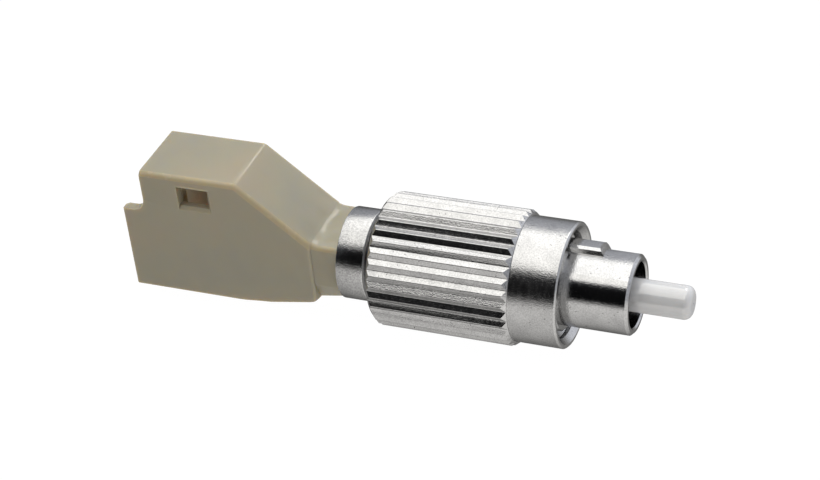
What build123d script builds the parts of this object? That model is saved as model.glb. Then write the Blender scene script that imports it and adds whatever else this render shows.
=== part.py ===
from build123d import *
import os
from math import radians, sin, tan

os.makedirs("parts", exist_ok=True)

# Hybrid fibre adapter: a large sprung ferrule and coupling nut at one end,
# and a moulded socket for a small latched plug at the other.
# X runs along the light path, from the small socket to the large ferrule.
# Z is up, the latch side of the socket. The origin is the centre of the barrel's rim.
# All sizes are in millimetres. Names ending in _x or _z are stations in that frame.

# Standard sizes of the two plug types
large_ferrule_r = 1.2495
small_ferrule_r = 0.6245
fibre_r = 0.0625
barrel_r = 2.985
plug_slot = 4.7

# Clearances
run_gap = 0.10
axial_gap = 0.05
close_gap = 0.06
end_gap = 0.3
thread_gap = 0.144
land_gap = 0.11
sleeve_gap = 0.03
grip_gap = 0.0115

# Travels
ferrule_travel = 1.0
nut_back = 2.5
nut_forward = 3.5

# Small chamfers on turned edges
edge_break = 0.12

# Ferrule assembly
ferrule_reach = 4.08
tip_round = 0.6
small_ferrule_length = 6.4
small_tip_chamfer = 0.2
stem_step = 0.2
stem_length = 2.7
cup_wall = 0.7
cup_proud = 0.8
flange_length = 1.35
stub_wall = 0.575
fibre_way_r = 0.25

# Spring
wire_r = 0.17
spring_r = 1.85
spring_gap = 0.43
spring_turns = 7

# Front body: barrel, key, collar and tube
barrel_length = 5.2
barrel_wall = 0.565
bore_depth = 6.6
stop_length = 1.0
rim_chamfer = 0.2
tube_wall = 0.5
key_rise = 0.465
key_width = 2.0
key_length = 2.8
key_chamfer = 0.3
key_angle = 20.0

# Coupling nut and its clip
nut_setback = 4.8
nut_length = 14.5
smooth_length = 3.6
thread_reach = 5.4
mouth_chamfer = 0.556
rim_width = 0.55
rib_rise = 0.4
rib_depth = 0.38
rib_count = 36
relief_depth = 0.156
groove_depth = 0.3
land_length = 1.95
clip_thickness = 0.7
clip_mouth = 1.5

# Rear barrel: the smooth ring and the spigot inside the neck
ring_length = 2.35
ring_chamfer = 0.25
seat_wall = 0.5
spigot_r = 1.7
spigot_length = 5.85
spigot_wall = 0.35

# Sleeve holder and split sleeve
sleeve_wall = 0.164
sleeve_length = 6.8
sleeve_slot = 0.2
sleeve_end_gap = 0.25
holder_wall = 0.57
holder_lip = 0.45
holder_flange = 0.95

# Moulded socket housing, outside
side_wall = 0.75
neck_length = 1.91
slope_length = 5.69
roof_length = 7.9
lip_length = 1.9
rise_length = 5.29
under_angle = 9.8
roof_wall = 0.8
lip_rise = 0.04
neck_roof = 0.5
neck_floor = 0.906
notch_r = 1.05
lip_edge_r = 0.25
top_edge_r = 0.45
neck_blend_r = 1.5

# Neck section: flat sides with two sizes of bevel
neck_step = 0.14
neck_bevel = 0.45
neck_bevel_height = 0.4
low_bevel = 0.83
neck_side_low_z = -1.25

# Socket cavity, latch pocket and side windows
web_thickness = 0.9
pocket_length = 4.9
ledge_z = 3.3
latch_room = 2.75
latch_slot = 2.9
lead_in = 0.25
window_inset = 0.1
window_length = 2.45
window_height = 1.8
window_chamfer = 0.25


# Radii, from the ferrules outwards
stem_r = large_ferrule_r - stem_step
cup_r = stem_r + cup_wall
stop_hole_r = cup_r + run_gap
stub_tube_r = small_ferrule_r + stub_wall
guide_r = stub_tube_r + run_gap
chamber_r = spring_r + wire_r + spring_gap
flange_r = chamber_r - run_gap
tube_r = chamber_r + tube_wall
barrel_bore_r = barrel_r - barrel_wall
collar_r = barrel_r + key_rise
land_r = collar_r + land_gap
ring_r = land_r - close_gap
thread_minor_r = collar_r + thread_gap
relief_r = thread_minor_r + relief_depth
groove_r = relief_r + groove_depth
clip_r = groove_r - run_gap
clip_bore_r = tube_r + run_gap
mouth_r = thread_minor_r + mouth_chamfer
smooth_r = mouth_r + rim_width
crest_r = smooth_r + rib_rise
root_r = crest_r - rib_depth
sleeve_bore_r = small_ferrule_r + grip_gap
sleeve_r = sleeve_bore_r + sleeve_wall
holder_bore_r = sleeve_r + sleeve_gap
holder_r = holder_bore_r + holder_wall
holder_lip_r = small_ferrule_r + close_gap
holder_flange_r = spigot_r - axial_gap
spigot_hole_r = small_ferrule_r + run_gap

# Stations of the front body, the ferrule's flange and the nut
large_tip_x = ferrule_reach
collar_front_x = -barrel_length
key_end_x = collar_front_x + key_length
stop_front_x = -bore_depth
stop_back_x = stop_front_x - stop_length
cup_front_x = stop_front_x + cup_proud
flange_front_x = stop_back_x - axial_gap
flange_back_x = flange_front_x - flange_length
nut_front_x = -nut_setback
nut_back_x = nut_front_x - nut_length
knurl_front_x = nut_front_x - smooth_length
thread_end_x = nut_front_x - thread_reach
groove_back_x = nut_back_x + land_length
groove_front_x = groove_back_x + clip_thickness + 2 * axial_gap
clip_back_x = groove_back_x + axial_gap
clip_front_x = clip_back_x + clip_thickness
collar_back_x = clip_front_x + nut_forward + axial_gap

# Stations of the rear barrel, the sleeve and the small ferrule
ring_front_x = clip_back_x - nut_back - axial_gap
neck_end_x = ring_front_x - ring_length
seat_x = neck_end_x + seat_wall
spigot_end_x = neck_end_x - spigot_length
holder_seat_x = spigot_end_x - holder_flange
sleeve_back_x = spigot_end_x - sleeve_end_gap
sleeve_front_x = sleeve_back_x - sleeve_length
holder_tip_x = sleeve_front_x - axial_gap - holder_lip
small_tip_x = (sleeve_front_x + sleeve_back_x) / 2
small_back_x = small_tip_x + small_ferrule_length
stub_tube_end_x = spigot_end_x + spigot_wall + ferrule_travel + end_gap

# Stations of the housing
slope_end_x = neck_end_x - neck_length
ridge_x = slope_end_x - slope_length
face_x = ridge_x - roof_length
lip_x = face_x - lip_length
under_bend_x = slope_end_x - rise_length
cavity_back_x = holder_seat_x - web_thickness
ledge_x = cavity_back_x - pocket_length
window_x0 = ledge_x + window_inset
window_x1 = window_x0 + window_length

# Heights and widths of the housing
body_width = plug_slot + 2 * side_wall
pocket_top_z = ledge_z + latch_room
top_z = pocket_top_z + roof_wall
lip_z = ledge_z + lip_rise
window_z1 = pocket_top_z - axial_gap
window_z0 = window_z1 - window_height
neck_top_z = spigot_r + neck_roof
neck_half = body_width / 2 - neck_step


def under_z(x):
    """Height of the rising underside at station x, from its bend to the neck's end."""
    return -spigot_r - neck_floor - (neck_end_x - x) * tan(radians(under_angle))


def neck_points(x):
    """Corners (y, z) of the neck's section at station x."""
    half_side = [
        (neck_half - low_bevel, under_z(x)),
        (neck_half, neck_side_low_z),
        (neck_half, neck_top_z - neck_bevel_height),
        (neck_half - neck_bevel, neck_top_z),
    ]
    return half_side + [(-y, z) for y, z in reversed(half_side)]


# Moulded socket housing
with BuildPart() as lc_housing:
    with BuildSketch(Plane.XZ) as side_outline:
        with BuildLine():
            Polyline(
                (lip_x, under_z(under_bend_x)),
                (under_bend_x, under_z(under_bend_x)),
                (slope_end_x, under_z(slope_end_x)),
                (slope_end_x, neck_top_z),
                (ridge_x, top_z),
                (face_x, top_z),
                (face_x, lip_z),
                (lip_x, lip_z),
                close=True,
            )
        make_face()
        notch = side_outline.vertices().sort_by_distance((face_x, 0, lip_z))[0]
        fillet(notch, notch_r)
        lip_corner = side_outline.vertices().sort_by_distance((lip_x, 0, lip_z))[0]
        fillet(lip_corner, lip_edge_r)
    extrude(amount=body_width / 2, both=True)

    # rounded long edges of the roof and of the slope
    side_edges = lc_housing.edges().filter_by(lambda e: abs(abs(e.center().Y) - body_width / 2) < 0.01)
    roof_edges = side_edges.filter_by(lambda e: e.center().Z > top_z - 0.01)
    slope_edges = side_edges.filter_by(
        lambda e: e.center().Z > neck_top_z and ridge_x < e.center().X < slope_end_x
    )
    fillet(roof_edges + slope_edges, top_edge_r)

    # neck: flat sided, bevelled, its underside rising with the housing's
    with BuildSketch(Plane.YZ.offset(slope_end_x)):
        with BuildLine():
            Polyline(*neck_points(slope_end_x), close=True)
        make_face()
    with BuildSketch(Plane.YZ.offset(neck_end_x)):
        with BuildLine():
            Polyline(*neck_points(neck_end_x), close=True)
        make_face()
    loft()

    # hollow blend where the slope runs out onto the neck
    crease = lc_housing.edges().filter_by(Axis.Y).sort_by_distance((slope_end_x, 0, neck_top_z))[0]
    fillet(crease, neck_blend_r)

    # socket for the plug, open at the top between the two lips
    with BuildSketch(Plane.YZ.offset(lip_x)):
        with Locations((0, (ledge_z - plug_slot / 2) / 2)):
            Rectangle(plug_slot, ledge_z + plug_slot / 2)
    extrude(amount=cavity_back_x - lip_x, mode=Mode.SUBTRACT)
    with BuildSketch(Plane.YZ.offset(lip_x)):
        with Locations((0, (ledge_z + pocket_top_z) / 2)):
            Rectangle(plug_slot, pocket_top_z - ledge_z)
    extrude(amount=face_x - lip_x, mode=Mode.SUBTRACT)

    # latch slot in the face, and the wider latch pocket behind it
    with BuildSketch(Plane.YZ.offset(face_x)):
        with Locations((0, (ledge_z + pocket_top_z) / 2)):
            Rectangle(latch_slot, pocket_top_z - ledge_z)
    extrude(amount=ledge_x - face_x, mode=Mode.SUBTRACT)
    with BuildSketch(Plane.YZ.offset(ledge_x)):
        with Locations((0, (ledge_z + pocket_top_z) / 2)):
            Rectangle(plug_slot, pocket_top_z - ledge_z)
    extrude(amount=cavity_back_x - ledge_x, mode=Mode.SUBTRACT)

    # latch windows through both side walls
    with BuildSketch(Plane.XZ):
        with Locations(((window_x0 + window_x1) / 2, (window_z0 + window_z1) / 2)):
            Rectangle(window_x1 - window_x0, window_z1 - window_z0)
    extrude(amount=body_width, both=True, mode=Mode.SUBTRACT)
    outer_edges = lc_housing.edges().filter_by(lambda e: abs(abs(e.center().Y) - body_width / 2) < 0.01)
    sills = outer_edges.filter_by(lambda e: abs(e.center().Z - window_z0) < 0.01)
    jambs = outer_edges.filter_by(
        lambda e: abs(e.center().X - window_x1) < 0.01 and window_z0 < e.center().Z < window_z1
    )
    chamfer(sills + jambs, window_chamfer)

    # hole for the sleeve holder and bore for the rear barrel's spigot
    with BuildSketch(Plane.YZ.offset(cavity_back_x)):
        Circle(holder_r)
    extrude(amount=holder_seat_x - cavity_back_x, mode=Mode.SUBTRACT)
    with BuildSketch(Plane.YZ.offset(holder_seat_x)):
        Circle(spigot_r)
    extrude(amount=neck_end_x - holder_seat_x, mode=Mode.SUBTRACT)

    # lead-in round the mouth
    with BuildSketch(Plane.YZ.offset(lip_x)):
        with Locations((0, (ledge_z - plug_slot / 2) / 2)):
            Rectangle(plug_slot + 2 * lead_in, ledge_z + plug_slot / 2 + 2 * lead_in)
    extrude(amount=lead_in, taper=45, mode=Mode.SUBTRACT)
lc_housing.part.label = "lc_housing"
export_step(lc_housing.part, "parts/lc_housing.step")


# Sleeve holder: a nose inside the socket, trapped by its flange
with BuildPart() as sleeve_holder:
    with BuildSketch(Plane.XZ):
        with BuildLine():
            Polyline(
                (holder_tip_x + edge_break, holder_r),
                (holder_tip_x, holder_r - edge_break),
                (holder_tip_x, holder_lip_r + edge_break),
                (holder_tip_x + edge_break, holder_lip_r),
                (holder_tip_x + holder_lip, holder_lip_r),
                (holder_tip_x + holder_lip, holder_bore_r),
                (spigot_end_x, holder_bore_r),
                (spigot_end_x, holder_flange_r),
                (holder_seat_x, holder_flange_r),
                (holder_seat_x, holder_r),
                close=True,
            )
        make_face()
    revolve(axis=Axis.X)
sleeve_holder.part.label = "sleeve_holder"
export_step(sleeve_holder.part, "parts/sleeve_holder.step")


# Split sleeve that lines up the two small ferrules
with BuildPart() as split_sleeve:
    with BuildSketch(Plane.YZ.offset(sleeve_front_x)):
        Circle(sleeve_r)
        Circle(sleeve_bore_r, mode=Mode.SUBTRACT)
        with Locations((0, -sleeve_r)):
            Rectangle(sleeve_slot, sleeve_r, mode=Mode.SUBTRACT)
    extrude(amount=sleeve_length)
split_sleeve.part.label = "split_sleeve"
export_step(split_sleeve.part, "parts/split_sleeve.step")


# Rear barrel: the smooth ring, its counterbore and the spigot held in the neck
with BuildPart() as rear_barrel:
    with BuildSketch(Plane.XZ):
        with BuildLine():
            Polyline(
                (ring_front_x, tube_r),
                (ring_front_x, ring_r - ring_chamfer),
                (ring_front_x - ring_chamfer, ring_r),
                (neck_end_x, ring_r),
                (neck_end_x, spigot_r),
                (spigot_end_x, spigot_r),
                (spigot_end_x, spigot_hole_r),
                (spigot_end_x + spigot_wall, spigot_hole_r),
                (spigot_end_x + spigot_wall, guide_r),
                (seat_x, guide_r),
                (seat_x, tube_r),
                close=True,
            )
        make_face()
    revolve(axis=Axis.X)
rear_barrel.part.label = "rear_barrel"
export_step(rear_barrel.part, "parts/rear_barrel.step")


# Front body: plug barrel with its key, collar, and the tube that holds the spring
with BuildPart() as front_body:
    with BuildSketch(Plane.XZ):
        with BuildLine():
            Polyline(
                (0, barrel_bore_r + edge_break),
                (0, barrel_r - rim_chamfer),
                (-rim_chamfer, barrel_r),
                (collar_front_x, barrel_r),
                (collar_front_x, collar_r - edge_break),
                (collar_front_x - edge_break, collar_r),
                (collar_back_x, collar_r),
                (collar_back_x, tube_r),
                (seat_x, tube_r),
                (seat_x, chamber_r),
                (stop_back_x, chamber_r),
                (stop_back_x, stop_hole_r),
                (stop_front_x, stop_hole_r),
                (stop_front_x, barrel_bore_r),
                (-edge_break, barrel_bore_r),
                close=True,
            )
        make_face()
    revolve(axis=Axis.X)

    # key on the barrel, its top level with the collar
    with BuildSketch(Plane.YZ.offset(collar_front_x - edge_break)):
        Circle(collar_r)
        Circle(barrel_r - edge_break, mode=Mode.SUBTRACT)
        with PolarLocations(barrel_r, 1, start_angle=90 - key_angle):
            Rectangle(barrel_r, key_width, mode=Mode.INTERSECT)
    extrude(amount=key_length + edge_break)
    key_nose = front_body.edges().filter_by(
        lambda e: abs(e.center().X - key_end_x) < 0.01 and e.center().length > barrel_r + key_rise / 2
    )
    chamfer(key_nose.sort_by(lambda e: e.center().Z)[-1], key_chamfer)
front_body.part.label = "front_body"
export_step(front_body.part, "parts/front_body.step")


# Large ferrule, its rear end stepped down where the holder grips it
with BuildPart() as large_ferrule:
    with BuildSketch(Plane.XZ):
        with BuildLine():
            Polyline(
                (large_tip_x, large_ferrule_r - tip_round),
                (large_tip_x, fibre_r),
                (cup_front_x - stem_length, fibre_r),
                (cup_front_x - stem_length, stem_r),
                (cup_front_x, stem_r),
                (cup_front_x, large_ferrule_r),
                (large_tip_x - tip_round, large_ferrule_r),
            )
            TangentArc(
                (large_tip_x - tip_round, large_ferrule_r),
                (large_tip_x, large_ferrule_r - tip_round),
                tangent=(1, 0),
            )
        make_face()
    revolve(axis=Axis.X)
large_ferrule.part.label = "large_ferrule"
export_step(large_ferrule.part, "parts/large_ferrule.step")


# Small ferrule, inside the split sleeve
with BuildPart() as small_ferrule:
    with BuildSketch(Plane.XZ):
        with BuildLine():
            Polyline(
                (small_tip_x, fibre_r),
                (small_tip_x, small_ferrule_r - small_tip_chamfer),
                (small_tip_x + small_tip_chamfer, small_ferrule_r),
                (small_back_x, small_ferrule_r),
                (small_back_x, fibre_r),
                close=True,
            )
        make_face()
    revolve(axis=Axis.X)
small_ferrule.part.label = "small_ferrule"
export_step(small_ferrule.part, "parts/small_ferrule.step")


# Ferrule holder: cup, flange that the spring pushes, and the long tube to the small ferrule
with BuildPart() as ferrule_holder:
    with BuildSketch(Plane.XZ):
        with BuildLine():
            Polyline(
                (cup_front_x, stem_r),
                (cup_front_x, cup_r),
                (flange_front_x, cup_r),
                (flange_front_x, flange_r),
                (flange_back_x, flange_r),
                (flange_back_x, stub_tube_r),
                (stub_tube_end_x, stub_tube_r),
                (stub_tube_end_x, small_ferrule_r),
                (small_back_x, small_ferrule_r),
                (small_back_x, fibre_way_r),
                (cup_front_x - stem_length, fibre_way_r),
                (cup_front_x - stem_length, stem_r),
                close=True,
            )
        make_face()
    revolve(axis=Axis.X)
ferrule_holder.part.label = "ferrule_holder"
export_step(ferrule_holder.part, "parts/ferrule_holder.step")


# Glass fibre, glued through both ferrules
with BuildPart() as fibre:
    with BuildSketch(Plane.YZ.offset(small_tip_x)):
        Circle(fibre_r)
    extrude(amount=large_tip_x - small_tip_x)
fibre.part.label = "fibre"
export_step(fibre.part, "parts/fibre.step")


# Spring between the rear barrel's seat and the flange, its wire in six flats
spring_length = flange_back_x - seat_x - 2 * wire_r
with BuildPart() as ferrule_spring:
    with BuildLine() as coil:
        Helix(
            pitch=spring_length / spring_turns,
            height=spring_length,
            radius=spring_r,
            center=(seat_x + wire_r, 0, 0),
            direction=(1, 0, 0),
        )
    with BuildSketch(Plane(origin=coil.line @ 0, z_dir=coil.line % 0)):
        RegularPolygon(wire_r, 6)
    sweep(is_frenet=True)
ferrule_spring.part.label = "ferrule_spring"
export_step(ferrule_spring.part, "parts/ferrule_spring.step")


# Coupling nut: knurled grip, smooth front, threaded bore, clip groove and rear land
with BuildPart() as coupling_nut:
    thread_start_x = nut_front_x - mouth_chamfer
    with BuildSketch(Plane.XZ):
        with BuildLine():
            Polyline(
                (nut_back_x, land_r + edge_break),
                (nut_back_x, smooth_r),
                (nut_back_x + rib_rise, crest_r),
                (knurl_front_x - rib_rise, crest_r),
                (knurl_front_x, smooth_r),
                (nut_front_x - edge_break, smooth_r),
                (nut_front_x, smooth_r - edge_break),
                (nut_front_x, mouth_r),
                (thread_start_x, thread_minor_r),
                (thread_end_x, thread_minor_r),
                (thread_end_x - axial_gap, relief_r),
                (groove_front_x, relief_r),
                (groove_front_x, groove_r),
                (groove_back_x, groove_r),
                (groove_back_x, land_r),
                (nut_back_x + edge_break, land_r),
                close=True,
            )
        make_face()
    revolve(axis=Axis.X)

    # straight ribs left between V grooves, one of them in line with the latch
    groove_half = crest_r * sin(radians(180 / rib_count))
    with BuildSketch(Plane.YZ.offset(nut_back_x)):
        with PolarLocations(root_r, rib_count, start_angle=180 / rib_count):
            Polygon(
                (0, 0),
                (2 * rib_depth, 2 * groove_half),
                (2 * rib_depth, -2 * groove_half),
                align=None,
            )
    extrude(amount=knurl_front_x - nut_back_x, mode=Mode.SUBTRACT)
coupling_nut.part.label = "coupling_nut"
export_step(coupling_nut.part, "parts/coupling_nut.step")


# Clip in the nut's groove: it slides with the nut and stops it at the collar
with BuildPart() as nut_clip:
    with BuildSketch(Plane.YZ.offset(clip_back_x)):
        Circle(clip_r)
        Circle(clip_bore_r, mode=Mode.SUBTRACT)
        with Locations((0, -clip_r)):
            Rectangle(clip_mouth, clip_r, mode=Mode.SUBTRACT)
    extrude(amount=clip_thickness)
nut_clip.part.label = "nut_clip"
export_step(nut_clip.part, "parts/nut_clip.step")
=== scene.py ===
from math import atan, atan2, cos, pi, radians, sin, sqrt, tan

import bmesh
import bpy
from mathutils import Matrix, Vector


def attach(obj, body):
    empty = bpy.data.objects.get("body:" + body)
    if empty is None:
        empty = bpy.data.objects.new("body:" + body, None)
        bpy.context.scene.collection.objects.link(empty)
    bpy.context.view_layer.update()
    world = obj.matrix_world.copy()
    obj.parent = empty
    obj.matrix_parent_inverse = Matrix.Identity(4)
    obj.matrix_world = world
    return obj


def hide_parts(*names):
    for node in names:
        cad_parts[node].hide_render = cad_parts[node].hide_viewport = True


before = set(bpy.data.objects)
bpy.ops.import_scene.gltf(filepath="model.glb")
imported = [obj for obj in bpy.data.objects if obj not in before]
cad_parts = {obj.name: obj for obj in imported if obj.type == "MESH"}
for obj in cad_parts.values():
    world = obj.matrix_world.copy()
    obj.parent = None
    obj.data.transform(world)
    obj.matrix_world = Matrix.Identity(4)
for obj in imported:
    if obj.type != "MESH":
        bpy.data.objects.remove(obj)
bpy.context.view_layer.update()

# A fibre tester adapter: moulded socket on the left, knurled coupling nut, keyed barrel and
# ferrule. Shapes are drawn in millimetres along the light path, X, and brought to metres when
# they are finished.


# Bench tools

def let_go():
    if bpy.context.object and bpy.context.object.mode != "OBJECT":
        bpy.ops.object.mode_set(mode="OBJECT")
    bpy.ops.object.select_all(action="DESELECT")


def take(piece):
    let_go()
    piece.select_set(True)
    bpy.context.view_layer.objects.active = piece


def edit(piece):
    take(piece)
    bpy.ops.object.mode_set(mode="EDIT")


def pick(piece, kind, test):
    """In edit mode, selects the corners, edges or faces whose middle passes the test."""
    bpy.ops.mesh.select_mode(type=kind)
    bpy.ops.mesh.select_all(action="DESELECT")
    mesh = bmesh.from_edit_mesh(piece.data)
    if kind == "VERT":
        for v in mesh.verts:
            v.select = bool(test(v.co))
    elif kind == "EDGE":
        for e in mesh.edges:
            e.select = bool(test((e.verts[0].co + e.verts[1].co) / 2, e))
    else:
        for f in mesh.faces:
            f.select = bool(test(f.calc_center_median(), f.normal))
    mesh.select_flush_mode()
    bmesh.update_edit_mesh(piece.data)


def draw(name, corners):
    """A closed line drawn corner by corner; leaves the piece in edit mode."""
    let_go()
    bpy.ops.mesh.primitive_plane_add(size=1, location=(0, 0, 0))
    piece = bpy.context.object
    piece.name = name
    edit(piece)
    bpy.ops.mesh.select_mode(type="VERT")
    bpy.ops.mesh.select_all(action="SELECT")
    bpy.ops.mesh.merge(type="CENTER")
    bpy.ops.transform.translate(value=corners[0])
    for here, there in zip(corners, corners[1:]):
        step = [b - a for a, b in zip(here, there)]
        bpy.ops.mesh.extrude_vertices_move(TRANSFORM_OT_translate={"value": step})
    first, last = Vector(corners[0]), Vector(corners[-1])
    pick(piece, "VERT", lambda v: (v - first).length < 1e-4 or (v - last).length < 1e-4)
    bpy.ops.mesh.edge_face_add()
    return piece


def tidy_skin(piece):
    edit(piece)
    bpy.ops.mesh.select_all(action="SELECT")
    bpy.ops.mesh.remove_doubles(threshold=1e-4)
    bpy.ops.mesh.normals_make_consistent(inside=False)
    bpy.ops.object.mode_set(mode="OBJECT")


def turn(name, profile, steps):
    """A turned piece: the closed profile (x, radius) spun about the light path."""
    piece = draw(name, [(x, 0, r) for x, r in profile])
    bpy.ops.mesh.select_all(action="SELECT")
    bpy.ops.mesh.spin(steps=steps, angle=2 * pi, center=(0, 0, 0), axis=(1, 0, 0))
    tidy_skin(piece)
    return piece


def push(name, corners, along):
    """A prism: the closed outline filled and pulled along a vector."""
    piece = draw(name, corners)
    bpy.ops.mesh.select_all(action="SELECT")
    bpy.ops.mesh.edge_face_add()
    bpy.ops.mesh.extrude_region_move(TRANSFORM_OT_translate={"value": along})
    tidy_skin(piece)
    return piece


def join_by(piece, tool, how):
    """Cuts, adds or keeps what is shared with a second piece, which is used up."""
    take(piece)
    bpy.ops.object.modifier_add(type="BOOLEAN")
    m = piece.modifiers[-1]
    m.operation, m.solver, m.object = how, "EXACT", tool
    bpy.ops.object.modifier_apply(modifier=m.name)
    take(tool)
    bpy.ops.object.delete()
    tidy_skin(piece)


def round_edges(piece, width, segments):
    """Rounds every edge that turns by more than 30 degrees."""
    take(piece)
    bpy.ops.object.modifier_add(type="BEVEL")
    m = piece.modifiers[-1]
    m.width, m.segments, m.limit_method = width, segments, "ANGLE"
    m.angle_limit = radians(30)
    m.miter_outer = "MITER_ARC"
    m.use_clamp_overlap = True
    bpy.ops.object.modifier_apply(modifier=m.name)


def block(name, low, high):
    let_go()
    bpy.ops.mesh.primitive_cube_add(size=1, location=(0, 0, 0))
    piece = bpy.context.object
    piece.name = name
    edit(piece)
    bpy.ops.mesh.select_all(action="SELECT")
    bpy.ops.transform.resize(value=[b - a for a, b in zip(low, high)])
    bpy.ops.transform.translate(value=[(a + b) / 2 for a, b in zip(low, high)])
    bpy.ops.object.mode_set(mode="OBJECT")
    return piece


def bar(radius, start, end):
    """A round bar along the light path."""
    let_go()
    bpy.ops.mesh.primitive_cylinder_add(
        vertices=96, radius=radius, depth=end - start, location=((start + end) / 2, 0, 0),
        rotation=(0, pi / 2, 0))
    bpy.ops.object.transform_apply(location=True, rotation=True, scale=True)
    return bpy.context.object


def to_metres(piece, angle=35):
    """Brings a finished piece from millimetres to metres and smooths its curved faces."""
    edit(piece)
    bpy.ops.mesh.select_all(action="SELECT")
    bpy.ops.transform.resize(value=(0.001, 0.001, 0.001), center_override=(0, 0, 0))
    bpy.ops.object.mode_set(mode="OBJECT")
    take(piece)
    bpy.ops.object.shade_smooth_by_angle(angle=radians(angle))


def fit_in(piece, body, node, finish):
    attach(piece, body)
    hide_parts(node)
    piece.data.materials.clear()
    piece.data.materials.append(finish)


# Finishes

class Finish:
    """A material being mixed: its nodes by plain calls."""

    def __init__(self, name):
        self.mat = bpy.data.materials.new(name)
        self.mat.use_nodes = True
        self.tree = self.mat.node_tree
        self.shader = self.tree.nodes["Principled BSDF"]
        self.where = self.node("ShaderNodeTexCoord").outputs["Object"]

    def node(self, kind, **settings):
        n = self.tree.nodes.new(kind)
        for key, value in settings.items():
            setattr(n, key, value)
        return n

    def link(self, a, b):
        self.tree.links.new(a, b)

    def noise(self, scale, detail, squeeze=(1, 1, 1)):
        """Noise with this many patches to the metre; squeeze packs them closer along an axis."""
        m = self.node("ShaderNodeMapping")
        m.inputs["Scale"].default_value = squeeze
        self.link(self.where, m.inputs["Vector"])
        n = self.node("ShaderNodeTexNoise")
        n.inputs["Scale"].default_value = scale
        n.inputs["Detail"].default_value = detail
        n.inputs["Roughness"].default_value = 0.55
        self.link(m.outputs["Vector"], n.inputs["Vector"])
        return n.outputs["Fac"]

    def ramp(self, fac, *stops):
        r = self.node("ShaderNodeValToRGB")
        while len(r.color_ramp.elements) < len(stops):
            r.color_ramp.elements.new(0.5)
        for e, (place, colour) in zip(r.color_ramp.elements, stops):
            e.position = place
            e.color = (*colour, 1)
        self.link(fac, r.inputs["Fac"])
        return r.outputs["Color"]

    def span(self, fac, low, high, from_low=0.3, from_high=0.7):
        m = self.node("ShaderNodeMapRange")
        m.inputs["From Min"].default_value = from_low
        m.inputs["From Max"].default_value = from_high
        m.inputs["To Min"].default_value = low
        m.inputs["To Max"].default_value = high
        self.link(fac, m.inputs["Value"])
        return m.outputs["Result"]

    def bump(self, height, depth, strength=1.0, after=None):
        b = self.node("ShaderNodeBump")
        b.inputs["Strength"].default_value = strength
        b.inputs["Distance"].default_value = depth
        self.link(height, b.inputs["Height"])
        if after is not None:
            self.link(after, b.inputs["Normal"])
        return b.outputs["Normal"]

    def times(self, a, b):
        m = self.node("ShaderNodeMix", data_type="RGBA", blend_type="MULTIPLY")
        m.inputs["Factor"].default_value = 1.0
        self.link(a, m.inputs["A"])
        self.link(b, m.inputs["B"])
        return m.outputs["Result"]

    def set(self, socket, value):
        self.shader.inputs[socket].default_value = value

    def feed(self, source, socket):
        self.link(source, self.shader.inputs[socket])


def moulded_plastic(name, light, dark, warm, roughness, sunk=0.0):
    """Satin beige moulding: faint clouding, a fine eroded texture and some light carried in its
    edges. Towards the neck, where the wall is thick, the surface has sunk a little unevenly."""
    f = Finish(name)
    f.feed(f.ramp(f.noise(180, 2), (0.3, dark), (0.5, light), (0.72, warm)), "Base Color")
    f.set("Subsurface Weight", 1.0)
    f.set("Subsurface Radius", (1.0, 0.7, 0.36))
    f.set("Subsurface Scale", 0.0009)
    f.set("IOR", 1.47)
    f.feed(f.span(f.noise(900, 2), roughness - 0.05, roughness + 0.05), "Roughness")
    place = f.node("ShaderNodeSeparateXYZ")
    f.link(f.where, place.inputs["Vector"])
    near_neck = f.node("ShaderNodeMath", operation="MULTIPLY")
    f.link(f.span(place.outputs["X"], 0, 1, -0.0262, -0.0244), near_neck.inputs[0])
    f.link(f.span(f.noise(620, 0), -0.5, 0.5, 0, 1), near_neck.inputs[1])
    waves = f.bump(near_neck.outputs["Value"], sunk)
    f.feed(f.bump(f.noise(5200, 3), 0.0000025, 0.5, waves), "Normal")
    return f.mat


def nickel(name, roughness, grain_depth, line_depth, mottle, tone):
    """Nickel plate on turned brass: fine turning lines round the axis, a satin grain and small
    dark pits."""
    f = Finish(name)
    dull = tuple(c * 0.86 for c in tone)
    plate = f.ramp(f.noise(700, 3), (0.3, dull), (0.65, tone))
    pits = f.ramp(f.noise(5200, 1), (0.235, (0.3, 0.3, 0.3)), (0.275, (1, 1, 1)))
    sand = f.ramp(f.noise(9500, 1.5), (0.36, (mottle, mottle, mottle)), (0.6, (1, 1, 1)))
    f.feed(f.times(f.times(plate, pits), sand), "Base Color")
    f.set("Metallic", 1.0)
    f.set("Specular Tint", (0.5, 0.5, 0.5, 1))
    f.feed(f.span(f.noise(1500, 3, (3, 1, 1)), roughness * 0.8, roughness * 1.25), "Roughness")
    turned = f.bump(f.noise(1400, 3, (14, 0.6, 0.6)), line_depth)
    f.feed(f.bump(f.noise(11500, 1.5, (1.2, 1, 1)), grain_depth, 1.0, turned), "Normal")
    return f.mat


def zirconia(name):
    """Ground and polished white ceramic, milky, with the faint marks of centreless grinding."""
    f = Finish(name)
    cloud = f.ramp(f.noise(500, 2), (0.3, (0.8, 0.8, 0.805)), (0.7, (0.84, 0.84, 0.843)))
    f.feed(cloud, "Base Color")
    f.set("Subsurface Weight", 0.5)
    f.set("Subsurface Radius", (1.0, 0.95, 0.9))
    f.set("Subsurface Scale", 0.0006)
    f.set("IOR", 2.15)
    f.feed(f.span(f.noise(2500, 2), 0.06, 0.1), "Roughness")
    f.feed(f.bump(f.noise(2600, 2, (8, 1, 1)), 0.0000012, 0.6), "Normal")
    return f.mat


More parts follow.
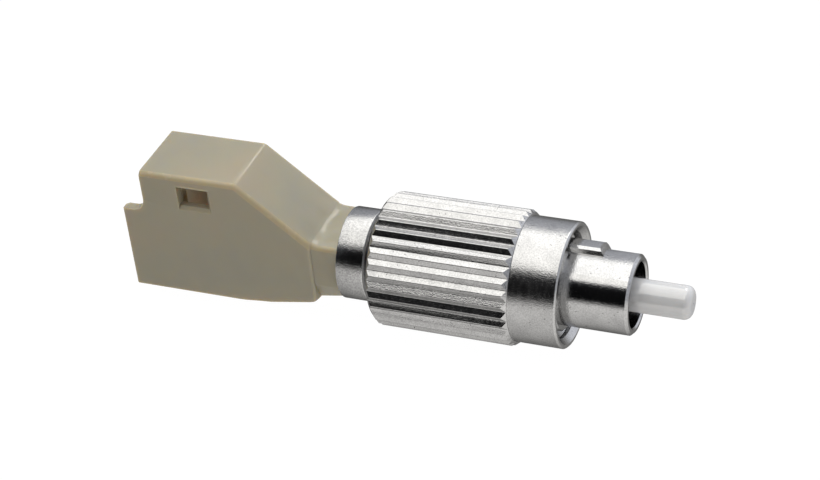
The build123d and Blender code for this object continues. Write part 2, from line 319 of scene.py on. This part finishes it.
def spring_wire(name):
    """Drawn stainless wire: its drawing lines are too fine to see, so a soft mottled grey."""
    f = Finish(name)
    mottle = f.ramp(f.noise(3000, 3), (0.3, (0.42, 0.42, 0.43)), (0.7, (0.6, 0.6, 0.6)))
    f.feed(mottle, "Base Color")
    f.set("Metallic", 1.0)
    f.feed(f.span(f.noise(2600, 2, (4, 1, 1)), 0.22, 0.36), "Roughness")
    return f.mat


def clear_glass(name):
    """Optical fibre: clear glass with a trace of haze."""
    f = Finish(name)
    haze = f.ramp(f.noise(4000, 2), (0.3, (0.75, 0.79, 0.82)), (0.7, (0.86, 0.89, 0.91)))
    f.feed(haze, "Base Color")
    f.set("Roughness", 0.05)
    f.set("IOR", 1.46)
    f.set("Transmission Weight", 0.6)
    return f.mat


beige = moulded_plastic(
    "socket_beige", light=(0.445, 0.41, 0.306), dark=(0.416, 0.391, 0.309),
    warm=(0.465, 0.411, 0.304), roughness=0.21, sunk=0.00028)
# painted light: a lighter, warmer copy of the beige, put on the rounded edges as painted glow
painted_light_edge_beige = moulded_plastic(
    "painted_light_edge_beige", light=(0.53, 0.468, 0.325), dark=(0.5, 0.445, 0.315), warm=(0.54, 0.468, 0.32),
    roughness=0.24)
# painted light: a lighter, warmer copy of the beige, put on the socket's inner walls as painted
# glow
painted_glow_inner_beige = moulded_plastic(
    "painted_glow_inner_beige", light=(0.57, 0.49, 0.35), dark=(0.54, 0.465, 0.335), warm=(0.58, 0.49, 0.345),
    roughness=0.3)
holder_beige = moulded_plastic(
    "holder_beige", light=(0.55, 0.49, 0.36), dark=(0.51, 0.455, 0.335), warm=(0.56, 0.49, 0.35),
    roughness=0.36)
nut_plate = nickel(
    "nut_nickel", roughness=0.19, grain_depth=0.000012, line_depth=0.0000016, mottle=0.85,
    tone=(0.684, 0.682, 0.68))
barrel_plate = nickel(
    "barrel_nickel", roughness=0.1, grain_depth=0.000008, line_depth=0.0000012, mottle=0.86,
    tone=(0.678, 0.677, 0.676))
ring_plate = nickel(
    "ring_nickel", roughness=0.14, grain_depth=0.000015, line_depth=0.0000016, mottle=0.76,
    tone=(0.639, 0.637, 0.634))
ceramic = zirconia("white_zirconia")
wire = spring_wire("spring_wire")
glass = clear_glass("fibre_glass")


# Sizes in millimetres. Places along the light path are counted from the barrel's rim.

# housing: its places along the path, its half width and heights, the hollow curve before the neck,
# the rise of its underside, and the socket's half width and depths
LIP, FACE, RIDGE, SLOPE_END, NECK_END = -39.6, -37.7, -29.8, -24.11, -22.2
HALF, TOP, LIP_TOP, NECK_TOP, UNDER = 3.1, 6.85, 3.34, 2.2, -3.85
BLEND = 1.77
UNDER_BEND, UNDER_ANGLE = -29.4, 9.8
SOCKET, LEDGE, CAVITY_BACK = 2.35, -34.8, -29.9

# sleeve holder: its tip and shoulder, where the sleeve's bore ends, and its radii
HOLDER_TIP, HOLDER_SEAT, SLEEVE_END = -35.6, -29.0, -35.15
NOSE, FLANGE, SLEEVE_BORE, TIP_HOLE = 1.3995, 1.65, 0.83, 0.6845

# ring and body: places along the path, then radii outside and in the bores
SPIGOT_END, SEAT, RING_FRONT, COLLAR_BACK, COLLAR_FRONT = -28.05, -21.7, -19.85, -13.05, -5.2
SPRING_SEAT, STOP_BACK, STOP_FRONT = -27.7, -7.6, -6.6
SPIGOT, RING, STEM, COLLAR, BARREL = 1.7, 3.5, 2.95, 3.45, 2.985
FERRULE_BORE, SPRING_BORE, BODY_BORE, STOP_BORE, MOUTH = 0.7245, 1.2995, 2.45, 1.8495, 2.42
KEY_HALF, KEY_TURN = 1, 20

# large ferrule: its tip, its step and its tail, then radii
FERRULE_TIP, FERRULE_STEP, FERRULE_TAIL = 4.08, -5.8, -8.5
FERRULE, TAIL, DOME, FIBRE_HOLE = 1.2495, 1.0495, 0.6, 0.0625

# coupling nut: places along the path, its ribs, and radii outside and in the bore
NUT_BACK, KNURL_FRONT, NUT_FRONT = -19.3, -8.4, -4.8
RIBS, CREST, POINT, ROOT = 36, 5.1, 5.085, 4.805
SMOOTH, THREAD_BORE, BORE, REAR_BORE, CLIP_GROOVE = 4.7, 3.96, 3.75, 3.56, 4.05


def under_z(x):
    return UNDER + (x - UNDER_BEND) * tan(radians(UNDER_ANGLE))


def slope_z(x):
    """Height of the slope at x, with the hollow curve that carries it onto the neck."""
    fall = (TOP - NECK_TOP) / (SLOPE_END - RIDGE)
    reach = BLEND * tan(atan(fall) / 2)
    if x < SLOPE_END - reach * cos(atan(fall)):
        return TOP - (x - RIDGE) * fall
    return NECK_TOP + BLEND - sqrt(BLEND ** 2 - min(x - SLOPE_END - reach, 0) ** 2)


# Moulded socket housing

def section(x, step, top, under, crown, foot, straight=0):
    """Cross-section at x, its walls stepped in by step. The upper corners, crown, are rounded, and
    the lower ones, foot, go from rounded to a straight bevel. Each is (width, height)."""
    half = HALF - step
    turns = [k * pi / 16 for k in range(9)]
    right = []
    for k, a in enumerate(turns):
        y = mix(half - foot[0] * (1 - sin(a)), half - foot[0] * (1 - k / 8), straight)
        z = mix(under + foot[1] * (1 - cos(a)), under + foot[1] * k / 8, straight)
        right.append((x, y, z))
    for a in turns:
        right.append((x, half - crown[0] * (1 - cos(a)), top - crown[1] * (1 - sin(a))))
    return right + [(x, -y, z) for x, y, z in reversed(right)]


def sloped(x, step, crown, foot, straight=0):
    """Cross-section where the roof falls and the underside rises."""
    return section(x, step, slope_z(x), under_z(x), crown, foot, straight)


def mix(a, b, share):
    return a + (b - a) * share


def skin_over(name, sections):
    """Joins the sections, drawn one after another, into one closed skin."""
    loops = [draw(name, corners) for corners in sections]
    let_go()
    for loop in loops:
        loop.select_set(True)
    body = loops[0]
    bpy.context.view_layer.objects.active = body
    bpy.ops.object.join()
    edit(body)
    places = [corners[0][0] for corners in sections]
    for here, there in zip(places, places[1:]):
        pick(body, "EDGE", lambda m, e: abs(e.verts[0].co.x - e.verts[1].co.x) < 1e-5
             and min(abs(m.x - here), abs(m.x - there)) < 1e-4)
        bpy.ops.mesh.bridge_edge_loops()
    for end in (places[0], places[-1]):
        pick(body, "EDGE", lambda m, e: all(abs(v.co.x - end) < 1e-4 for v in e.verts))
        bpy.ops.mesh.edge_face_add()
    tidy_skin(body)
    return body


def make_housing():
    # the underside bends up softly, the roof falls to the neck and the walls step in a little there
    body = skin_over("housing", [
        section(LIP, 0.1, TOP - 0.1, UNDER + 0.1, (0.35, 0.35), (0.05, 0.05)),
        section(LIP + 0.03, 0.03, TOP - 0.03, UNDER + 0.03, (0.42, 0.42), (0.1, 0.1)),
        section(LIP + 0.1, 0, TOP, UNDER, (0.45, 0.45), (0.12, 0.12)),
        section(-30.9, 0, TOP, UNDER, (0.45, 0.45), (0.12, 0.12)),
        section(-30.3, 0, TOP, UNDER + 0.02, (0.45, 0.45), (0.12, 0.12)),
        section(-29.93, 0, TOP, UNDER + 0.055, (0.45, 0.45), (0.12, 0.12)),
        section(RIDGE, 0, TOP - 0.04, UNDER + 0.07, (0.45, 0.5), (0.12, 0.12)),
        section(-29.67, 0, TOP - 0.11, UNDER + 0.085, (0.45, 0.56), (0.12, 0.12)),
        section(-29.0, 0, slope_z(-29.0), UNDER + 0.15, (0.45, 0.58), (0.12, 0.12)),
        sloped(-28.2, 0, (0.45, 0.58), (0.12, 0.12)),
        sloped(-24.9, 0, (0.45, 0.58), (0.14, 0.14)),
        sloped(-24.6, 0, (0.45, 0.58), (0.2, 0.2)),
        sloped(-24.5, 0, (0.45, 0.57), (0.26, 0.26)),
        sloped(-24.42, 0.008, (0.45, 0.56), (0.36, 0.4)),
        sloped(-24.35, 0.03, (0.44, 0.55), (0.5, 0.62), 0.15),
        sloped(-24.3, 0.06, (0.44, 0.54), (0.62, 0.95), 0.4),
        sloped(-24.27, 0.1, (0.43, 0.52), (0.74, 1.35), 0.65),
        sloped(-24.255, 0.138, (0.42, 0.5), (0.83, 1.69), 0.85),
        sloped(-24.2, 0.14, (0.41, 0.48), (0.83, 1.7), 0.85),
        sloped(-23.9, 0.14, (0.4, 0.44), (0.83, 1.64), 0.85),
        sloped(-23.7, 0.14, (0.4, 0.42), (0.83, 1.61), 0.85),
        sloped(-23.48, 0.14, (0.4, 0.4), (0.83, 1.57), 0.85),
        sloped(NECK_END, 0.14, (0.4, 0.4), (0.83, 1.35), 0.85),
    ])

    # notch above the lip, its inner corner well rounded, and the lip's own corner
    bend_r = 1.05
    bend = [(FACE - bend_r + bend_r * sin(a), LIP_TOP + bend_r - bend_r * cos(a))
            for a in [k * pi / 28 for k in range(15)]]
    notch = [(LIP - 1, LIP_TOP)] + bend + [(FACE, TOP + 1), (LIP - 1, TOP + 1)]
    cutter = push("notch", [(x, -HALF - 1, z) for x, z in notch], (0, 2 * HALF + 2, 0))
    join_by(body, cutter, "DIFFERENCE")
    edit(body)
    pick(body, "EDGE", lambda m, e: all(
        abs(v.co.x - LIP) < 0.01 and abs(v.co.z - LIP_TOP) < 0.01 for v in e.verts))
    bpy.ops.mesh.bevel(offset=0.3, segments=6, offset_type="OFFSET")
    bpy.ops.object.mode_set(mode="OBJECT")

    # socket, latch slot, latch pocket, windows, and the bores behind them
    for hollow in (
        block("socket", (LIP - 1, -SOCKET, -SOCKET), (CAVITY_BACK, SOCKET, 3.3)),
        block("lips", (LIP - 1, -SOCKET, 3.0), (FACE, SOCKET, 4.5)),
        block("latch_slot", (FACE - 1, -1.45, 3.0), (LEDGE + 0.2, 1.45, 6.05)),
        block("latch_pocket", (LEDGE, -SOCKET, 3.0), (CAVITY_BACK, SOCKET, 6.05)),
    ):
        join_by(body, hollow, "DIFFERENCE")
    # each window flares down and towards the neck over the outer quarter of a millimetre
    flare = 0.25
    window = block("window", (-34.7, -4, 4.2), (-32.25, 4, 6.0))
    edit(window)
    for side_y in (-1, 1):
        pick(window, "FACE", lambda m, n: n.y * side_y > 0.9)
        bpy.ops.transform.translate(value=(0, -side_y * (4 - HALF + flare), 0))
        bpy.ops.mesh.extrude_region_move(TRANSFORM_OT_translate={"value": (0, side_y * flare, 0)})
        pick(window, "VERT", lambda v: abs(v.y * side_y - HALF) < 0.01 and v.z < 4.3)
        bpy.ops.transform.translate(value=(0, 0, -flare))
        pick(window, "VERT", lambda v: abs(v.y * side_y - HALF) < 0.01 and v.x > -32.3)
        bpy.ops.transform.translate(value=(flare, 0, 0))
        pick(window, "FACE", lambda m, n: n.y * side_y > 0.9 and abs(m.y * side_y - HALF) < 0.01)
        bpy.ops.mesh.extrude_region_move(TRANSFORM_OT_translate={"value": (0, side_y * 0.5, 0)})
    tidy_skin(window)
    join_by(body, window, "DIFFERENCE")

    join_by(body, bar(NOSE, CAVITY_BACK - 1, CAVITY_BACK + 1), "DIFFERENCE")
    join_by(body, bar(SPIGOT, HOLDER_SEAT, NECK_END + 1), "DIFFERENCE")

    # lead-in round the mouth
    lead = block("lead_in", (LIP - 1, -SOCKET, -SOCKET), (LIP + 0.25, SOCKET, 4.5))
    edit(lead)
    pick(lead, "FACE", lambda m, n: n.x < -0.9)
    bpy.ops.transform.resize(value=(1, 3.6 / SOCKET, 1), center_override=(0, 0, 0))
    pick(lead, "VERT", lambda v: v.x < LIP - 0.5 and v.z < 0)
    bpy.ops.transform.translate(value=(0, 0, -1.25))
    tidy_skin(lead)
    join_by(body, lead, "DIFFERENCE")

    edit(body)
    pick(body, "EDGE", lambda m, e: all(abs(v.co.x - FACE) < 0.01 for v in e.verts)
         and m.z > LIP_TOP + 0.8 and (abs(m.y) > HALF - 0.46 or m.z > TOP - 0.46))
    bpy.ops.mesh.bevel(offset=0.08, segments=2, offset_type="OFFSET", clamp_overlap=True)
    bpy.ops.mesh.select_all(action="SELECT")
    bpy.ops.mesh.quads_convert_to_tris(ngon_method="BEAUTY")
    bpy.ops.object.mode_set(mode="OBJECT")
    to_metres(body, 27)
    fit_in(body, "adapter_body", "lc_housing", beige)

    # painted light: the rounded edges take a lighter, warmer copy of the beige as painted glow
    # where light gathers in them, and the socket's inner walls take one as painted glow for light
    # coming warm through the walls; the piece is in metres here
    body.data.materials.append(painted_light_edge_beige)
    body.data.materials.append(painted_glow_inner_beige)
    edit(body)
    # painted glow: the rounded edge bands get the lighter, warmer beige
    pick(body, "FACE", lambda m, n: 0.2 < abs(n.y) < 0.97 and abs(m.y) > 0.0025 and m.z > 0.001
         and not (-0.0349 < m.x < -0.032 and m.z < 0.0061))
    body.active_material_index = 1
    bpy.ops.object.material_slot_assign()
    # painted glow: the walls inside the socket get the lighter, warmer beige
    pick(body, "FACE", lambda m, n: abs(m.y) < 0.0024 and -0.0393 < m.x < -0.0298
         and -0.0024 < m.z < 0.0061)
    body.active_material_index = 2
    bpy.ops.object.material_slot_assign()
    bpy.ops.object.mode_set(mode="OBJECT")


# Turned pieces

def make_rear_barrel():
    ring = turn("ring", [
        (RING_FRONT, STEM), (RING_FRONT, RING - 0.25), (RING_FRONT - 0.25, RING), (NECK_END, RING),
        (NECK_END, SPIGOT), (SPIGOT_END, SPIGOT), (SPIGOT_END, FERRULE_BORE),
        (SPRING_SEAT, FERRULE_BORE), (SPRING_SEAT, SPRING_BORE), (SEAT, SPRING_BORE), (SEAT, STEM),
    ], 200)
    round_edges(ring, 0.04, 3)
    to_metres(ring)
    fit_in(ring, "adapter_body", "rear_barrel", ring_plate)


def make_front_body():
    body = turn("barrel", [
        (0, MOUTH + 0.12), (0, BARREL - 0.2), (-0.2, BARREL), (COLLAR_FRONT, BARREL),
        (COLLAR_FRONT, COLLAR - 0.12), (COLLAR_FRONT - 0.12, COLLAR), (COLLAR_BACK, COLLAR),
        (COLLAR_BACK, STEM), (SEAT, STEM), (SEAT, BODY_BORE), (STOP_BACK, BODY_BORE),
        (STOP_BACK, STOP_BORE), (STOP_FRONT, STOP_BORE), (STOP_FRONT, MOUTH), (-0.12, MOUTH),
    ], 200)
    # key: a block with a bevelled nose, cut to a crown that is level with the collar and whose
    # long edges are bevelled
    key = block("key", (-5.6, -1.2, 2.7), (-2.4, 1.2, 4.0))
    edit(key)
    pick(key, "EDGE", lambda m, e: m.x > -2.41 and m.z > 3.9)
    bpy.ops.transform.translate(value=(-0.85, 0, 0))
    bpy.ops.object.mode_set(mode="OBJECT")
    top = [(-6, y, sqrt(COLLAR ** 2 - y ** 2)) for y in [k * 0.14 for k in range(-6, 7)]]
    near = [(-6, -KEY_HALF, 2.5), (-6, -KEY_HALF, 3.15)]
    far = [(-6, KEY_HALF, 3.15), (-6, KEY_HALF, 2.5)]
    join_by(key, push("crown", near + top + far, (5, 0, 0)), "INTERSECT")
    edit(key)
    bpy.ops.mesh.select_all(action="SELECT")
    bpy.ops.transform.rotate(value=radians(KEY_TURN), orient_axis="X", center_override=(0, 0, 0))
    bpy.ops.object.mode_set(mode="OBJECT")
    join_by(body, key, "UNION")
    round_edges(body, 0.045, 3)
    to_metres(body)
    fit_in(body, "adapter_body", "front_body", barrel_plate)


def make_large_ferrule():
    shoulder, flat = FERRULE_TIP - DOME, FERRULE - DOME
    dome = [(shoulder + DOME * cos(a), flat + DOME * sin(a))
            for a in [k * pi / 28 for k in range(14)]]
    rod = turn("ferrule", [
        (shoulder, FERRULE), (FERRULE_STEP, FERRULE), (FERRULE_STEP, TAIL), (FERRULE_TAIL, TAIL),
        (FERRULE_TAIL, FIBRE_HOLE), (FERRULE_TIP, FIBRE_HOLE),
    ] + dome, 128)
    to_metres(rod)
    fit_in(rod, "ferrule_stub", "large_ferrule", ceramic)


def make_sleeve_holder():
    nose = turn("sleeve_nose", [
        (HOLDER_TIP + 0.12, NOSE), (HOLDER_TIP, NOSE - 0.12), (HOLDER_TIP, TIP_HOLE + 0.12),
        (HOLDER_TIP + 0.12, TIP_HOLE), (SLEEVE_END, TIP_HOLE), (SLEEVE_END, SLEEVE_BORE),
        (SPIGOT_END, SLEEVE_BORE), (SPIGOT_END, FLANGE), (HOLDER_SEAT, FLANGE), (HOLDER_SEAT, NOSE),
    ], 128)
    round_edges(nose, 0.03, 2)
    to_metres(nose)
    fit_in(nose, "adapter_body", "sleeve_holder", holder_beige)


# Coupling nut

def make_coupling_nut():
    nut = turn("nut", [
        (NUT_BACK, REAR_BORE + 0.12), (NUT_BACK, SMOOTH), (NUT_BACK + 0.4, CREST),
        (KNURL_FRONT - 0.4, CREST), (KNURL_FRONT, SMOOTH + 0.09), (KNURL_FRONT, SMOOTH),
        (NUT_FRONT - 0.12, SMOOTH), (NUT_FRONT, SMOOTH - 0.12), (NUT_FRONT, THREAD_BORE + 0.42),
        (NUT_FRONT - 0.42, THREAD_BORE), (-10.2, THREAD_BORE), (-10.25, BORE), (-16.55, BORE),
        (-16.55, CLIP_GROOVE), (-17.35, CLIP_GROOVE), (-17.35, REAR_BORE),
        (NUT_BACK + 0.12, REAR_BORE),
    ], 216)
    round_edges(nut, 0.03, 2)

    # the cutter is a sleeve with the ribs' outline as its bore
    let_go()
    bpy.ops.mesh.primitive_circle_add(
        vertices=2 * RIBS, radius=POINT, location=(0, 0, 0), rotation=(0, pi / 2, 0))
    cutter = bpy.context.object
    bpy.ops.object.transform_apply(location=True, rotation=True, scale=True)
    edit(cutter)
    pick(cutter, "VERT", lambda v: round(atan2(v.z, v.y) / (pi / RIBS)) % 2 == 1)
    bpy.ops.transform.resize(value=(1, ROOT / POINT, ROOT / POINT), center_override=(0, 0, 0))
    start = NUT_BACK - 0.5
    bpy.ops.mesh.select_all(action="SELECT")
    bpy.ops.transform.translate(value=(start, 0, 0))
    bpy.ops.mesh.extrude_region_move(TRANSFORM_OT_translate={"value": (KNURL_FRONT - start, 0, 0)})
    # ridge and valley lines are slightly rounded, as drawn knurling is
    pick(cutter, "EDGE", lambda m, e: abs(e.verts[0].co.x - e.verts[1].co.x) > 1)
    bpy.ops.mesh.bevel(offset=0.05, segments=3, offset_type="OFFSET")
    for x in (start, KNURL_FRONT):
        pick(cutter, "EDGE", lambda m, e: all(abs(v.co.x - x) < 0.01 for v in e.verts))
        bpy.ops.mesh.extrude_edges_move(TRANSFORM_OT_translate={"value": (0, 0, 0)})
        bpy.ops.transform.resize(value=(1, 1.5, 1.5), center_override=(0, 0, 0))
    pick(cutter, "EDGE", lambda m, e: Vector((0, m.y, m.z)).length > 6.5
         and abs(e.verts[0].co.x - e.verts[1].co.x) < 0.01)
    bpy.ops.mesh.bridge_edge_loops()
    tidy_skin(cutter)
    join_by(nut, cutter, "DIFFERENCE")

    # thread: one ridge drawn in section and screwed six turns down the bore
    ridge = draw("thread", [
        (-5.18, 0, 3.98), (-5.475, 0, 3.62), (-5.575, 0, 3.62), (-5.87, 0, 3.98)])
    bpy.ops.object.mode_set(mode="OBJECT")
    take(ridge)
    bpy.ops.object.modifier_add(type="SCREW")
    m = ridge.modifiers[-1]
    m.axis, m.angle, m.screw_offset, m.iterations = "X", 2 * pi, -0.75, 6
    m.steps = m.render_steps = 96
    m.use_merge_vertices = False
    bpy.ops.object.modifier_apply(modifier=m.name)
    edit(ridge)
    bpy.ops.mesh.select_all(action="DESELECT")
    bpy.ops.mesh.select_mode(type="EDGE")
    bpy.ops.mesh.select_non_manifold()
    bpy.ops.mesh.edge_face_add()
    tidy_skin(ridge)
    take(nut)
    ridge.select_set(True)
    bpy.ops.object.join()
    to_metres(nut, 12)
    fit_in(nut, "nut", "coupling_nut", nut_plate)


make_housing()
make_rear_barrel()
make_front_body()
make_large_ferrule()
make_sleeve_holder()
make_coupling_nut()

# the pieces inside keep their own shape and take a finish
inside = {
    "split_sleeve": ceramic, "small_ferrule": ceramic, "ferrule_holder": barrel_plate,
    "fibre": glass, "ferrule_spring": wire, "nut_clip": wire,
}
for node, finish in inside.items():
    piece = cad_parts[node]
    piece.data.materials.clear()
    piece.data.materials.append(finish)


# Floor, light and camera

let_go()
bpy.ops.mesh.primitive_plane_add(size=2.4, location=(0, 0, -0.0053))
floor = bpy.context.object
floor.name = "floor"
paper = bpy.data.materials.new("white_paper")
paper.use_nodes = True
sheet = paper.node_tree.nodes["Principled BSDF"]
sheet.inputs["Base Color"].default_value = (0.04, 0.04, 0.04, 1)
sheet.inputs["Roughness"].default_value = 0.9
sheet.inputs["Specular IOR Level"].default_value = 0.0
sheet.inputs["Emission Color"].default_value = (1, 1, 1, 1)
sheet.inputs["Emission Strength"].default_value = 0.99
floor.data.materials.append(paper)
# the paper is burnt out to white in the picture, so it gives the adapter no light: the room does
floor.visible_diffuse = floor.visible_glossy = False
floor.visible_transmission = floor.visible_shadow = False


def room():
    """Studio room: pale behind, dark in front above the table, with a pale table top, and lighter
    to the right."""
    world = bpy.data.worlds.new("studio")
    bpy.context.scene.world = world
    world.use_nodes = True
    tree = world.node_tree
    back = tree.nodes["Background"]
    where = tree.nodes.new("ShaderNodeTexCoord")
    split = tree.nodes.new("ShaderNodeSeparateXYZ")
    tree.links.new(where.outputs["Generated"], split.inputs["Vector"])

    def over(axis, low, high, to_low, to_high):
        span = tree.nodes.new("ShaderNodeMapRange")
        span.inputs["From Min"].default_value = low
        span.inputs["From Max"].default_value = high
        span.inputs["To Min"].default_value = to_low
        span.inputs["To Max"].default_value = to_high
        tree.links.new(split.outputs[axis], span.inputs["Value"])
        return span.outputs["Result"]

    def levels(tint, *stops):
        ramp = tree.nodes.new("ShaderNodeValToRGB")
        while len(ramp.color_ramp.elements) < len(stops):
            ramp.color_ramp.elements.new(0.5)
        for e, (place, level) in zip(ramp.color_ramp.elements, stops):
            e.position = (place + 1) / 2
            e.color = (level * tint[0], level * tint[1], level * tint[2], 1)
        tree.links.new(over("Y", -1, 1, 0, 1), ramp.inputs["Fac"])
        return ramp.outputs["Color"]

    # how far back a part of the room lies, and how bright it is there
    walls = levels((0.965, 0.99, 1.065), (-1.0, 0.004), (-0.7, 0.006), (-0.5, 0.2), (0.2, 0.36),
                   (0.72, 0.5), (1.0, 0.5))
    table = levels((1.015, 1.0, 0.975), (-1.0, 0.74), (-0.58, 0.56), (0.0, 0.42), (0.6, 0.24),
                   (1.0, 0.24))
    both = tree.nodes.new("ShaderNodeMix")
    both.data_type = "RGBA"
    tree.links.new(over("Z", 0.02, -0.2, 0, 1), both.inputs["Factor"])
    tree.links.new(walls, both.inputs["A"])
    tree.links.new(table, both.inputs["B"])
    tree.links.new(both.outputs["Result"], back.inputs["Color"])
    tree.links.new(over("X", -0.35, 0.35, 1.0, 1.7), back.inputs["Strength"])


def softbox(name, place, aim, wide, high, watts):
    let_go()
    bpy.ops.object.light_add(type="AREA", location=place)
    lamp = bpy.context.object
    lamp.name = name
    lamp.data.shape = "RECTANGLE"
    lamp.data.size, lamp.data.size_y = wide, high
    lamp.data.energy = watts
    lamp.data.color = (1, 0.978, 0.92)
    lamp.rotation_euler = (Vector(aim) - Vector(place)).to_track_quat("-Z", "Y").to_euler()


room()
# the main softbox hangs level over the adapter, its longer part behind
softbox("main_softbox", (-0.09, 0.045, 0.30), (-0.09, 0.045, 0), 0.42, 0.54, 0.88)
# a small one behind it shows as the bright patch in the hollow before the neck
softbox("window_behind", (-0.01, 0.446, 0.395), (-0.024, 0, 0.002), 0.15, 0.12, 0.24)

bpy.ops.object.camera_add(location=(0.034642, -0.115808, 0.092064))
camera = bpy.context.object
camera.name = "camera"
camera.data.lens = 92.2
camera.data.sensor_width = 36
right = Vector((0.932101, 0.351673, -0.086687))
down = Vector((0.139127, -0.568604, -0.810761))
ahead = Vector((-0.334413, 0.743650, -0.578924))
camera.rotation_mode = "QUATERNION"
camera.rotation_quaternion = Matrix((right, -down, -ahead)).transposed().to_quaternion()
bpy.context.scene.camera = camera
bpy.context.scene.view_settings.view_transform = "Standard"
